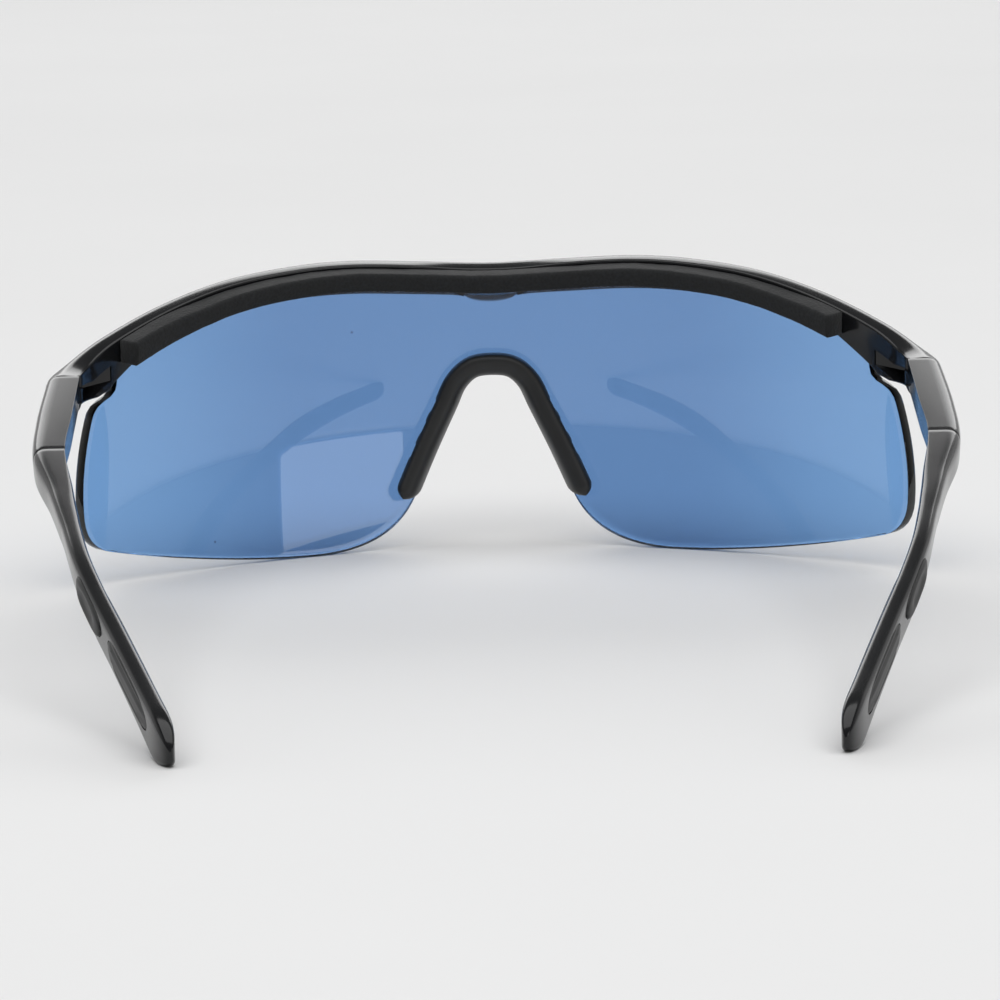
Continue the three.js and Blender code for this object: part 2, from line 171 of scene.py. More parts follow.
def eased(outline: Sequence[Pair], radii: Sequence[float], steps: int = 4) -> list[Pair]:
    """Rounds the corners of a closed outline.

    Args:
        outline: The sharp corners in order.
        radii: How far back from each corner the rounding starts.
        steps: Number of facets on each corner.

    Returns:
        The rounded outline, with steps + 1 points for each corner.
    """
    corners = [np.array(point, float) for point in outline]
    points = []
    for i, corner in enumerate(corners):
        ends = []
        for other in (corners[i - 1], corners[(i + 1) % len(corners)]):
            length = np.linalg.norm(other - corner)
            ends.append(corner + (other - corner) / length * min(radii[i], 0.45 * float(length)))
        start, end = ends
        for t in np.linspace(0, 1, steps + 1):
            point = (1 - t) ** 2 * start + 2 * t * (1 - t) * corner + t**2 * end
            points.append((float(point[0]), float(point[1])))
    return points


def superellipse(half_wide: float, half_high: float, squareness: float, count: int) -> list[Pair]:
    """A ring shaped between an ellipse and a rectangle.

    Args:
        half_wide: Half its width.
        half_high: Half its height.
        squareness: 2 for an ellipse, more for squarer corners.
        count: Number of points.

    Returns:
        The ring's points.
    """
    power = 2 / squareness
    ring = []
    for k in range(count):
        c, s = math.cos(math.tau * (k + 0.5) / count), math.sin(math.tau * (k + 0.5) / count)
        ring.append((half_wide * math.copysign(abs(c) ** power, c), half_high * math.copysign(abs(s) ** power, s)))
    return ring


# ---- The lens's curve and the frame's line ----

LENS_RADIUS = 88.0
LENS_THICKNESS = 1.8
LENS_SINK = 2.4
BOW_RADIUS = 88.0
BOW_HEIGHT = 27.5
BEND_STEPS = 200
WRAP_ANGLE = math.radians(45)
WRAP_ARC = LENS_RADIUS * WRAP_ANGLE
SEAM_Y = 39.8
END_X = 69.9


def bow(z: float) -> float:
    """How far the lens leans back at a height."""
    return (z - BOW_HEIGHT) ** 2 / (2 * BOW_RADIUS)


def on_lens(arc: float, inset: float, z: float) -> Triple:
    """The point at a distance along the lens from the middle, inset from its outer face, at a height."""
    angle, radius = arc / LENS_RADIUS, LENS_RADIUS - inset
    return radius * math.sin(angle), LENS_RADIUS - radius * math.cos(angle) + bow(z), z


def arc_of(x: float) -> float:
    """Distance along the lens at a distance from the middle."""
    return LENS_RADIUS * math.asin(clamp(x / LENS_RADIUS, -1, 1))


class BrowLine:
    """The frame's line seen from above: along the lens, then back to the hinge seam."""

    def __init__(self) -> None:
        """Samples the stretch between the lens and the seam."""
        wrap = (LENS_RADIUS * math.sin(WRAP_ANGLE), LENS_RADIUS * (1 - math.cos(WRAP_ANGLE)))
        self.bend = evenly(bezier(wrap, (66.1, 29.7), (END_X, 34.3), (END_X, SEAM_Y), BEND_STEPS), BEND_STEPS)
        steps = np.linalg.norm(np.diff(self.bend, axis=0), axis=1)
        self.seam_arc = WRAP_ARC + float(steps.sum())
        self.top = Profile(
            (-12, 48.25), (0, 47.7), (12, 48.25), (24, 48.9), (34, 48.6), (46, 47.2), (58, 44.3), (70, 40.4),
            (79, 37.1), (self.seam_arc, 36.15), (self.seam_arc + 1, 36.05),
        )

    def point(self, arc: float, inset: float, z: float) -> Triple:
        """A point on or behind the frame's line.

        Args:
            arc: Distance along the line from the middle, negative on the wearer's right.
            inset: Distance across the line, towards the wearer.
            z: Height.

        Returns:
            The point.
        """
        side = math.copysign(1, arc)
        along = abs(arc)
        if along <= WRAP_ARC:
            x, y, z = on_lens(along, inset, z)
            return side * x, y, z
        u = (along - WRAP_ARC) / (self.seam_arc - WRAP_ARC) * BEND_STEPS
        i = min(int(u), BEND_STEPS - 1)
        here = self.bend[i] + (self.bend[i + 1] - self.bend[i]) * (u - i)
        ahead, behind = self.bend[min(i + 2, BEND_STEPS)], self.bend[max(i - 1, 0)]
        tangent = (ahead - behind) / np.linalg.norm(ahead - behind)
        lean = bow(z) * (1 - smoothstep(along, WRAP_ARC, self.seam_arc))
        return side * float(here[0] - tangent[1] * inset), float(here[1] + tangent[0] * inset) + lean, z


BROW = BrowLine()


# ---- Mesh making ----


def to_frame(point: Sequence[float]) -> Triple:
    """Turns a point in working millimetres into the frame's metres."""
    return point[0] * MM, (point[1] - DEPTH_CENTRE) * MM, point[2] * MM


def object_from(name: str, points: Sequence[Triple], faces: Sequence[Sequence[int]]) -> Object:
    """Makes an object from points in millimetres, with every face turned outwards.

    Args:
        name: Name of the object and its mesh.
        points: The vertices.
        faces: Vertex numbers of each face.

    Returns:
        The object, linked to the scene.
    """
    mesh = bpy.data.meshes.new(name)
    mesh.from_pydata([to_frame(point) for point in points], [], faces)
    work = bmesh.new()
    work.from_mesh(mesh)
    bmesh.ops.recalc_face_normals(work, faces=work.faces)
    work.to_mesh(mesh)
    work.free()
    piece = bpy.data.objects.new(name, mesh)
    bpy.context.scene.collection.objects.link(piece)
    return piece


def loft(name: str, rings: Sequence[Sequence[Triple]]) -> Object:
    """A closed body through rings of points.

    Args:
        name: Name of the object.
        rings: Rings with the same number of points.

    Returns:
        The object.
    """
    count = len(rings[0])
    points = [point for ring in rings for point in ring]
    faces: list[tuple[int, ...]] = []
    for r in range(len(rings) - 1):
        for k in range(count):
            a, b = r * count + k, r * count + (k + 1) % count
            faces.append((a, b, b + count, a + count))
    faces.append(tuple(range(count)))
    faces.append(tuple(range((len(rings) - 1) * count, len(rings) * count)))
    return object_from(name, points, faces)


def prism(
    outline: Sequence[Pair], low: float, high: float, lift: Callable[[float], float] = lambda _y: 0.0
) -> Object:
    """An upright prism between two heights, with both its ends raised by lift at a distance along Y."""
    return loft("cutter", [[(x, y, z + lift(y)) for x, y in outline] for z in (low, high)])


def upright_cylinder(x: float, y: float, radius: float, low: float, high: float) -> Object:
    """An upright cylinder between two heights."""
    turns = [math.tau * k / ROUND_SIDES for k in range(ROUND_SIDES)]
    return prism([(x + radius * math.cos(t), y + radius * math.sin(t)) for t in turns], low, high)


def settle(piece: Object) -> None:
    """Turns a piece's modifiers into its real mesh."""
    evaluated = piece.evaluated_get(bpy.context.evaluated_depsgraph_get())
    mesh = bpy.data.meshes.new_from_object(evaluated)
    old = piece.data
    piece.modifiers.clear()
    piece.data = mesh
    bpy.data.meshes.remove(old)
    mesh.name = piece.name


def combine(piece: Object, tools: Sequence[Object], operation: str = "DIFFERENCE") -> None:
    """Cuts tools out of a piece, or joins them to it, and removes them.

    Args:
        piece: The piece that is changed.
        tools: The bodies to cut or join.
        operation: DIFFERENCE or UNION.
    """
    for tool in tools:
        step = piece.modifiers.new("work", "BOOLEAN")
        step.operation = operation
        step.solver = "EXACT"
        step.object = tool
    settle(piece)
    if not piece.data.polygons:
        raise RuntimeError(f"nothing is left of {piece.name}")
    for tool in tools:
        mesh = tool.data
        bpy.data.objects.remove(tool)
        bpy.data.meshes.remove(mesh)


def shade(piece: Object, angle: float = 32) -> None:
    """Shades a piece smoothly, apart from edges that turn more than an angle in degrees."""
    piece.data.shade_smooth()
    piece.data.set_sharp_from_angle(angle=math.radians(angle))


def seat(piece: Object, body: str, slot: Slot, node: str, *finishes: Material) -> None:
    """Puts a finished piece in the place of its CAD node.

    Args:
        piece: The piece.
        body: CAD body that it moves with.
        slot: Record slot of the piece; not used.
        node: CAD node that it stands for.
        finishes: Its materials, in the order of its faces' material numbers.
    """
    piece.data.materials.clear()
    for finish in finishes:
        piece.data.materials.append(finish)
    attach(piece, body)
    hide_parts(node)
    LOG.info("%s: %d faces, rides on %s", piece.name, len(piece.data.polygons), body)


# ---- Finishes ----


class NodeSheet:
    """A node tree while it is being wired."""

    def __init__(self, tree: NodeTree) -> None:
        """Starts from an empty tree."""
        self.tree = tree
        tree.nodes.clear()

    def add(self, kind: str, **values: object) -> Node:
        """Adds a node.

        Args:
            kind: Blender's name for the node's type.
            values: The node's properties, and numbers or sockets for its inputs (underscores for spaces).

        Returns:
            The node.
        """
        node = self.tree.nodes.new(kind)
        for key, value in values.items():
            entry = key.replace("_", " ")
            if hasattr(node, key):
                setattr(node, key, value)
            elif isinstance(value, NodeSocket):
                self.join(value, node.inputs[entry])
            else:
                node.inputs[entry].default_value = value
        return node

    def texture(self, kind: str, **values: object) -> Node:
        """Adds a texture that lies on the piece as it was made, in metres."""
        return self.add(f"ShaderNodeTex{kind}", Vector=self.add("ShaderNodeTexCoord").outputs["Object"], **values)

    def join(self, output: NodeSocket, entry: NodeSocket) -> None:
        """Links one socket to another."""
        self.tree.links.new(output, entry)

    def sum(self, operation: str, *parts: NodeSocket | float) -> NodeSocket:
        """Adds a Math node.

        Args:
            operation: The node's operation.
            parts: Its inputs, as sockets or numbers.

        Returns:
            Its output.
        """
        node = self.add("ShaderNodeMath", operation=operation)
        for entry, part in zip(node.inputs, parts):
            if isinstance(part, (int, float)):
                entry.default_value = part
            else:
                self.join(part, entry)
        return node.outputs[0]

    def blend(self, share: NodeSocket, first: object, second: object) -> NodeSocket:
        """Adds a colour Mix node.

        Args:
            share: How much of the second colour.
            first: First colour, as a socket or three numbers.
            second: Second colour.

        Returns:
            The mixed colour.
        """
        node = self.add("ShaderNodeMix", data_type="RGBA")
        self.join(share, node.inputs[0])
        for entry, colour in ((node.inputs[6], first), (node.inputs[7], second)):
            if isinstance(colour, NodeSocket):
                self.join(colour, entry)
            else:
                entry.default_value = (*colour, 1)
        return node.outputs[2]

    def ramp(self, value: NodeSocket, low: float, high: float) -> NodeSocket:
        """Adds an eased ramp that leaves 0 at low and reaches 1 at high."""
        limits = {"From_Min": low, "From_Max": high}
        return self.add("ShaderNodeMapRange", interpolation_type="SMOOTHSTEP", Value=value, **limits).outputs[0]


def effect_group(name: str, inputs: Sequence[str], outputs: Sequence[str]) -> tuple:
    """Starts a shader node group whose sockets are all numbers.

    Args:
        name: Name of the group.
        inputs: Names of its inputs.
        outputs: Names of its outputs.

    Returns:
        The group, its sheet, its input node and its output node.
    """
    group = bpy.data.node_groups.new(name, "ShaderNodeTree")
    for way, labels in (("INPUT", inputs), ("OUTPUT", outputs)):
        for label in labels:
            group.interface.new_socket(name=label, in_out=way, socket_type="NodeSocketFloat")
    sheet = NodeSheet(group)
    return group, sheet, sheet.add("NodeGroupInput"), sheet.add("NodeGroupOutput")


def make_skin_group() -> NodeTree:
    """The faint unevenness and grain that every moulded piece has.

    Returns:
        A group that puts out a roughness and a height.
    """
    group, sheet, given, result = effect_group(
        "moulded_skin", ("Grain Scale", "Roughness", "Unevenness", "Waviness"), ("Roughness", "Height")
    )
    grain = sheet.texture("Noise", Scale=given.outputs["Grain Scale"], Detail=4.0, Roughness=0.6)
    flow = sheet.texture("Noise", Scale=90.0, Detail=2.0)
    wander = sheet.sum("MULTIPLY", sheet.sum("SUBTRACT", flow.outputs["Fac"], 0.5), given.outputs["Unevenness"])
    sheet.join(sheet.sum("ADD", given.outputs["Roughness"], wander), result.inputs["Roughness"])
    wave = sheet.sum("MULTIPLY", flow.outputs["Fac"], given.outputs["Waviness"])
    sheet.join(sheet.sum("ADD", grain.outputs["Fac"], wave), result.inputs["Height"])
    return group


def make_speck_group() -> NodeTree:
    """Sparse specks of dust.

    Returns:
        A group that puts out a mask, 1 on a speck.
    """
    group, sheet, given, result = effect_group("dust_specks", ("Scale", "Size", "Share"), ("Mask",))
    cells = sheet.texture("Voronoi", Scale=given.outputs["Scale"])
    chance = sheet.add("ShaderNodeSeparateColor", Color=cells.outputs["Color"])
    near = sheet.sum("LESS_THAN", cells.outputs["Distance"], given.outputs["Size"])
    kept = sheet.sum("LESS_THAN", chance.outputs[0], given.outputs["Share"])
    sheet.join(sheet.sum("MULTIPLY", near, kept), result.inputs["Mask"])
    return group


SKIN = make_skin_group()
SPECKS = make_speck_group()


def start_material(name: str) -> tuple[Material, NodeSheet, Node]:
    """Starts a material with one Principled shader.

    Args:
        name: Name of the material.

    Returns:
        The material, its sheet and its shader.
    """
    material = bpy.data.materials.new(name)
    material.use_nodes = True
    sheet = NodeSheet(material.node_tree)
    shader = sheet.add("ShaderNodeBsdfPrincipled")
    sheet.join(shader.outputs[0], sheet.add("ShaderNodeOutputMaterial").inputs["Surface"])
    return material, sheet, shader


def raise_surface(sheet: NodeSheet, shader: Node, height: NodeSocket, relief: float) -> None:
    """Feeds a height to a shader's normal, with relief as the millimetres that a height of 1 stands for."""
    bump = sheet.add("ShaderNodeBump", Strength=1.0, Distance=relief * MM, Height=height)
    sheet.join(bump.outputs[0], shader.inputs["Normal"])


@dataclass(frozen=True)
class SolidFinish:
    """The surface of a moulded plastic or rubber, or of drawn steel."""

    name: str
    colour: Triple
    worn_colour: Triple
    roughness: float
    unevenness: float
    grain_scale: float
    relief: float
    waviness: float = 0.0
    coat: float = 0.0
    specular: float = 0.5
    metallic: float = 0.0
    cloud_scale: float = 160.0
    speck_share: float = 0.0
    speck_colour: Triple = (0.16, 0.155, 0.14)

    def material(self) -> Material:
        """Builds the material."""
        material, sheet, shader = start_material(self.name)
        skin = sheet.add(
            "ShaderNodeGroup", node_tree=SKIN, Grain_Scale=self.grain_scale, Roughness=self.roughness,
            Unevenness=self.unevenness, Waviness=self.waviness,
        )
        specks = sheet.add("ShaderNodeGroup", node_tree=SPECKS, Scale=420.0, Size=0.07, Share=self.speck_share)
        cloud = sheet.texture("Noise", Scale=self.cloud_scale, Detail=3.0)
        colour = sheet.blend(cloud.outputs["Fac"], self.colour, self.worn_colour)
        sheet.join(sheet.blend(specks.outputs["Mask"], colour, self.speck_colour), shader.inputs["Base Color"])
        sheet.join(skin.outputs["Roughness"], shader.inputs["Roughness"])
        shader.inputs["Metallic"].default_value = self.metallic
        shader.inputs["Specular IOR Level"].default_value = self.specular
        shader.inputs["Coat Weight"].default_value = self.coat
        shader.inputs["Coat Roughness"].default_value = 0.08
        raise_surface(sheet, shader, skin.outputs["Height"], self.relief)
        return material


@dataclass(frozen=True)
class FoamFinish:
    """Closed-cell foam: small round cells under a dull skin, with painted shade darkening the cells' pits."""

    name: str
    colour: Triple
    pit_shade_colour: Triple
    cell_scale: float
    relief: float

    def material(self) -> Material:
        """Builds the material."""
        material, sheet, shader = start_material(self.name)
        cells = sheet.texture("Voronoi", feature="SMOOTH_F1", Scale=self.cell_scale, Smoothness=0.35)
        cloud = sheet.texture("Noise", Scale=240.0, Detail=5.0, Roughness=0.65)
        depth = sheet.sum("MULTIPLY", cells.outputs["Distance"], cloud.outputs["Fac"])
        # Painted shade: the colour falls to the pit shade where the cells sink, along the same depth the bump uses;
        # the cloud adds a random mottle.
        sheet.join(sheet.blend(depth, self.pit_shade_colour, self.colour), shader.inputs["Base Color"])
        rough = sheet.sum("ADD", sheet.sum("MULTIPLY", cloud.outputs["Fac"], 0.16), 0.78)
        sheet.join(rough, shader.inputs["Roughness"])
        shader.inputs["Specular IOR Level"].default_value = 0.35
        shader.inputs["Sheen Weight"].default_value = 0.12
        shader.inputs["Sheen Roughness"].default_value = 0.5
        raise_surface(sheet, shader, sheet.sum("ADD", depth, cloud.outputs["Fac"]), self.relief)
        return material


@dataclass(frozen=True)
class TintedFinish:
    """Polished tinted polycarbonate, a little paler towards its two sides."""

    name: str
    tint: Triple
    side_tint: Triple
    speck_tint: Triple
    smudge: float
    side_paling: Pair = (0.030, 0.064)
    refraction: float = 1.585

    def material(self) -> Material:
        """Builds the material."""
        material, sheet, shader = start_material(self.name)
        specks = sheet.add("ShaderNodeGroup", node_tree=SPECKS, Scale=300.0, Size=0.07, Share=0.035)
        skin = sheet.add(
            "ShaderNodeGroup", node_tree=SKIN, Grain_Scale=60.0, Roughness=self.smudge,
            Unevenness=self.smudge * 1.6, Waviness=1.0,
        )
        place = sheet.add("ShaderNodeSeparateXYZ", Vector=sheet.add("ShaderNodeTexCoord").outputs["Object"])
        paling = sheet.ramp(sheet.sum("ABSOLUTE", place.outputs["X"]), *self.side_paling)
        colour = sheet.blend(paling, self.tint, self.side_tint)
        sheet.join(sheet.blend(specks.outputs["Mask"], colour, self.speck_tint), shader.inputs["Base Color"])
        sheet.join(skin.outputs["Roughness"], shader.inputs["Roughness"])
        shader.inputs["Transmission Weight"].default_value = 1.0
        shader.inputs["IOR"].default_value = self.refraction
        return material


GLOSS = SolidFinish(
    "gloss_black_plastic", (0.006, 0.0065, 0.0075), (0.009, 0.0095, 0.0105), roughness=0.17, unevenness=0.07,
    grain_scale=1500.0, relief=0.0012, waviness=2.0, coat=0.1, specular=0.36, speck_share=0.03,
).material()
RUBBER = SolidFinish(
    "soft_grip_rubber", (0.011, 0.0115, 0.012), (0.016, 0.0165, 0.017), roughness=0.46, unevenness=0.14,
    grain_scale=3800.0, relief=0.006, specular=0.45, speck_share=0.05,
).material()
# Painted shade: the lens's rim faces get an opaque dark blue that stands in for the dark band light makes inside the
# clear lens edge.
LENS_RIM_SHADE = SolidFinish(
    "cut_lens_edge", (0.018, 0.02, 0.034), (0.03, 0.034, 0.055), roughness=0.3, unevenness=0.1,
    grain_scale=1900.0, relief=0.003,
).material()
STEEL = SolidFinish(
    "drawn_steel", (0.62, 0.63, 0.65), (0.45, 0.45, 0.47), roughness=0.32, unevenness=0.2,
    grain_scale=2600.0, relief=0.004, metallic=1.0, cloud_scale=900.0,
).material()
# The second colour is the painted shade in the foam cells' pits.
FOAM = FoamFinish(
    "closed_cell_foam", (0.021, 0.023, 0.025), (0.008, 0.0085, 0.009), cell_scale=2300.0, relief=0.09
).material()
LENS_TINT = TintedFinish(
    "blue_lens_tint", (0.148, 0.298, 0.59), (0.2, 0.4, 0.73), (0.05, 0.09, 0.2), smudge=0.012
).material()


# ---- Lens ----


@dataclass
class Lens:
    """The one-piece lens."""

    columns: int = 96
    rows: int = 30
    notch_top: float = 29.7
    corner_x: float = 61.6
    edge_rounding: float = 0.16

    def outline(self) -> tuple[np.ndarray, np.ndarray, np.ndarray]:
        """Half outlines as (distance from the middle, height).

        Returns:
            The lower edge, the side and the upper edge, all starting from below or from the middle.
        """
        lower = np.concatenate([
            bezier((0, self.notch_top), (3.4, self.notch_top), (5.8, 28.2), (7.1, 25)),
            bezier((7.1, 25), (9.1, 19.9), (11.1, 14.9), (13, 9.9))[1:],
            bezier((13, 9.9), (14.6, 5.6), (18.6, 0.2), (30, 0))[1:],
            bezier((30, 0), (42, 0), (55, 2.4), (64, 5.7))[1:],
        ])
        shoulder = (self.corner_x, BROW.top(arc_of(self.corner_x)) - LENS_SINK)
        side = np.concatenate([
            bezier((64, 5.7), (66.2, 6.6), (67.3, 8.2), (67.7, 11)),
            bezier((67.7, 11), (68.2, 16.5), (67.4, 22.5), (66.1, 27.6))[1:],
            bezier((66.1, 27.6), (65.8, 28.9), (65, 29.7), (63.7, 30.3))[1:],
            bezier((63.7, 30.3), (62.7, 30.8), (62.3, 31.4), (62.2, 32.6))[1:],
            np.array([shoulder]),
        ])
        upper = [(x, BROW.top(arc_of(x)) - LENS_SINK) for x in spread(0, self.corner_x, self.columns)]
        return evenly(lower, self.columns), evenly(side, self.rows), np.array(upper)

    def grown(self, line: np.ndarray, distance: float) -> np.ndarray:
        """Moves an outline outwards.

        Args:
            line: Points that run anticlockwise, from the middle line back to it.
            distance: How far.

        Returns:
            The moved points.
        """
        along = np.empty_like(line)
        along[1:-1] = line[2:] - line[:-2]
        along[0], along[-1] = line[1] - line[0], line[-1] - line[-2]
        along /= np.linalg.norm(along, axis=1)[:, None]
        moved = line + distance * np.stack([along[:, 1], -along[:, 0]], axis=1)
        moved[[0, -1], 0] = 0
        return moved

    def body(self, name: str, outer: float, inner: float, growth: float = 0.0) -> tuple[Object, int]:
        """The lens between two distances inwards from its outer face.

        Args:
            name: Name of the object.
            outer: Distance of the outer face.
            inner: Distance of the inner face.
            growth: How far its outline is moved outwards.

        Returns:
            The object, and the number of its faces that aren't on the rim, which come first.
        """
        lower, side, upper = self.outline()
        loop = self.grown(np.concatenate([lower, side[1:], upper[:-1][::-1]]), growth)
        low = loop[: self.columns + 1]
        edge = loop[self.columns : self.columns + self.rows + 1]
        high = loop[self.columns + self.rows :][::-1]
        columns, rows = 2 * self.columns + 1, self.rows + 1
        points: list[Triple] = []
        for inset in (outer, inner):
            for i in range(-self.columns, self.columns + 1):
                k = abs(i)
                for j in range(rows):
                    v = j / self.rows
                    bulge = (edge[j] - (edge[0] * (1 - v) + edge[-1] * v)) * (k / self.columns)
                    x, z = low[k] * (1 - v) + high[k] * v + bulge
                    points.append(on_lens(math.copysign(arc_of(x), i), inset, z))

        def at(layer: int, i: int, j: int) -> int:
            """Number of a grid point."""
            return layer * columns * rows + i * rows + j

        faces, rim = [], []
        for i in range(columns - 1):
            for j in range(rows - 1):
                for layer in (0, 1):
                    faces.append((at(layer, i, j), at(layer, i + 1, j), at(layer, i + 1, j + 1), at(layer, i, j + 1)))
            for j in (0, rows - 1):
                rim.append((at(0, i, j), at(1, i, j), at(1, i + 1, j), at(0, i + 1, j)))
        for j in range(rows - 1):
            for i in (0, columns - 1):
                rim.append((at(0, i, j), at(0, i, j + 1), at(1, i, j + 1), at(1, i, j)))
        return object_from(name, points, faces + rim), len(faces)

    def build(self) -> None:
        """Builds the lens, whose cut edge takes the painted dark rim shade."""
        piece, inner_faces = self.body("tinted_lens", 0, LENS_THICKNESS)
        # The rim faces take the painted dark shade of the lens edge.
        for face in piece.data.polygons[inner_faces:]:
            face.material_index = 1
        seat(piece, "front", Slot.LENS, "lens", LENS_TINT, LENS_RIM_SHADE)
        rounding = piece.modifiers.new("round", "BEVEL")
        rounding.width, rounding.segments = self.edge_rounding * MM, 2
        rounding.limit_method, rounding.angle_limit = "ANGLE", math.radians(60)
        settle(piece)
        shade(piece, 50)


# ---- Brow frame ----


@dataclass
class BrowFrame:
    """The moulded bar over the lens, with a forked end piece at each side."""

    front: float = -1.5
    back: float = 3.4
    end_back: float = 4.2
    lip_depth: float = 5.9
    wall_depth: float = 5.0
    clip_half_width: float = 4.2
    clip_drop: float = 1.1
    nib_at: float = 4.6
    nib_length: float = 1.9
    nib_drop: float = 0.65
    flare: Pair = (63.5, 72.0)
    slot_low: float = 31.3
    slot_high: float = 33.9
    corner_radii: tuple[float, ...] = (0.3, 0.3, 0.45, 0.8, 0.9, 0.9)
    station: float = 0.75

    def wall_bottom(self, arc: float) -> float:
        """Height of the rear wall's lower edge at a distance from the middle."""
        start, end = self.flare
        if arc < start:
            nib = clamp((self.nib_at + self.nib_length - arc) / self.nib_length) if arc > self.nib_at else 0.0
            return BROW.top(arc) - self.wall_depth - self.nib_drop * nib
        if arc < end:
            return mix(BROW.top(start) - self.wall_depth, 32.4, (arc - start) / (end - start))
        return mix(32.4, 30.2, smoothstep(arc, end - 4, BROW.seam_arc - 3))

    def section(self, signed_arc: float) -> list[Triple]:
        """One cross-section of the frame.

        Args:
            signed_arc: Distance from the middle, negative on the wearer's right.

        Returns:
            The ring of points.
        """
        arc = abs(signed_arc)
        top = BROW.top(arc)
        end = smoothstep(arc, WRAP_ARC, BROW.seam_arc)
        bevel = smoothstep(arc, WRAP_ARC - 16, BROW.seam_arc)
        clip = self.clip_drop * math.sqrt(max(0.0, 1 - (arc / self.clip_half_width) ** 2))
        wall = self.wall_bottom(arc)
        level = wall if arc > 10 else top - self.wall_depth
        lip = level - (self.lip_depth - self.wall_depth) * (1 - smoothstep(arc, 56, self.flare[1])) - clip
        scoop = 0.45 + 0.4 * (1 - smoothstep(arc, 4, 16))
        outline = (
            (self.front, lip),
            (mix(self.back, self.end_back, end), wall),
            (mix(self.back, self.end_back, end), top - mix(scoop, 0.3, end)),
            (0.8, top),
            (mix(-0.6, -0.8, bevel), top - mix(0.35, 0.6, bevel)),
            (self.front, top - mix(1.3, 2.1, bevel)),
        )
        return [BROW.point(signed_arc, inset, z) for inset, z in eased(outline, self.corner_radii)]

    def build(self) -> None:
        """Builds the frame, its lens channel and its forks."""
        half = spread(0, BROW.seam_arc - 0.35, int(BROW.seam_arc / self.station))
        half = sorted(half + [self.nib_at - 0.02, self.nib_at + 0.02, self.clip_half_width - 0.05])
        rings = [self.section(arc) for arc in [-arc for arc in half[:0:-1]] + half]
        for back_off, pinch in ((0.1, 0.01), (0.04, 0.03), (0.0, 0.08)):
            right, left = (pinched(self.section(sign * (BROW.seam_arc - back_off)), pinch) for sign in (-1, 1))
            rings = [right, *rings, left]
        piece = loft("brow_bar", rings)
        room, _ = Lens(columns=70, rows=16).body("cutter", -GAP, LENS_THICKNESS + GAP, GAP)
        combine(piece, [room, *(tool for side in Side for tool in self.fork_tools(side.value))])
        shade(piece)
        seat(piece, "front", Slot.GLOSS, "brow_frame", GLOSS)

    def fork_tools(self, sign: int) -> list[Object]:
        """Cutters for one end piece: the fork's slot, the relief below it, the inner corner and the pin's bore.

        Args:
            sign: 1 on the wearer's left, -1 on the right.

        Returns:
            The cutters.
        """
        slot = ((61.7, 30.1), (66.2, 31.8), (68.2, 34.6), (69.2, 35.4), (69.7, 36.4), (69.8, 42), (58, 42), (58, 33.2))
        relief = ((56, 27.6), (64.4, 28), (65.6, 31.2), (66.1, 34.3), (66.4, 42), (56, 42))
        corner = ((65, 38.6), (66.1, 39.1), (66.8, 41), (65, 41))

        def turned(outline: Sequence[Pair]) -> list[Pair]:
            """The outline on this side."""
            return [(sign * x, y) for x, y in outline]

        return [
            prism(turned(slot), self.slot_low, self.slot_high, lambda y: 0.5 * max(0.0, 34.6 - y)),
            prism(turned(relief), 27, self.slot_low + 0.05),
            prism(turned(corner), 27, 40),
            upright_cylinder(sign * PIVOT_X, PIVOT_Y, BORE_RADIUS, 28, 35.3),
        ]


def pinched(ring: Sequence[Triple], amount: float) -> list[Triple]:
    """Draws a ring in towards its middle, to round the rim of an end.

    Args:
        ring: The points.
        amount: How far, in millimetres.

    Returns:
        The moved points.
    """
    points = np.array(ring)
    inward = points.mean(axis=0) - points
    inward /= np.linalg.norm(inward, axis=1)[:, None]
    return [tuple(map(float, point)) for point in points + inward * amount]


# ---- Foam brow pad ----


@dataclass
class BrowPad:
    """The die-cut foam strip behind the frame."""

    front: float = 3.5
    depth: float = 4.3
    left_end: float = 69.6
    right_end: float = -64.6
    bottom: float = -4.5
    waviness: float = 0.07
    station: float = 0.55

    def section(self, arc: float) -> list[Triple]:
        """One cross-section of the strip.

        Args:
            arc: Distance from the middle, negative on the wearer's right.

        Returns:
            The ring of points.
        """
        crown = BROW.top(abs(arc))
        top = crown - mix(1.45, 0.7, smoothstep(abs(arc), 50, self.left_end))
        back = self.front + self.depth
        middle = (crown + self.bottom + top) / 2
        outline = (
            (self.front, crown + self.bottom + 0.15),
            (back - 0.1, crown + self.bottom),
            (back + 0.12, middle),
            (back - 0.1, top),
            (self.front, min(top + 0.45, crown - 0.6)),
        )
        return [BROW.point(arc, inset, z) for inset, z in eased(outline, (0.3, 0.55, 2.5, 0.7, 0.3), 5)]

    def build(self) -> None:
        """Builds the strip, cut square at its ends."""
        count = int((self.left_end - self.right_end) / self.station)
        arcs = [self.right_end, self.right_end + 0.12, *spread(self.right_end, self.left_end, count)[1:-1]]
        rings = [self.section(arc) for arc in [*arcs, self.left_end - 0.12, self.left_end]]
        rings[0], rings[-1] = pinched(rings[0], 0.15), pinched(rings[-1], 0.15)
        rings = [[self.wavy(point) for point in ring] for ring in rings]
        piece = loft("foam_brow_strip", rings)
        shade(piece, 50)
        seat(piece, "front", Slot.FOAM, "brow_pad", FOAM)

    def wavy(self, point: Triple) -> Triple:
        """Moves a point a little, as cut foam is never quite straight."""
        coarse = noise.noise_vector(Vector(point) * 0.22) * self.waviness
        fine = noise.noise_vector(Vector(point) * 0.9) * (self.waviness * 0.5)
        return point[0] + coarse.x + fine.x, point[1] + 0.4 * (coarse.y + fine.y), point[2] + coarse.z + fine.z


# ---- Nose bridge ----


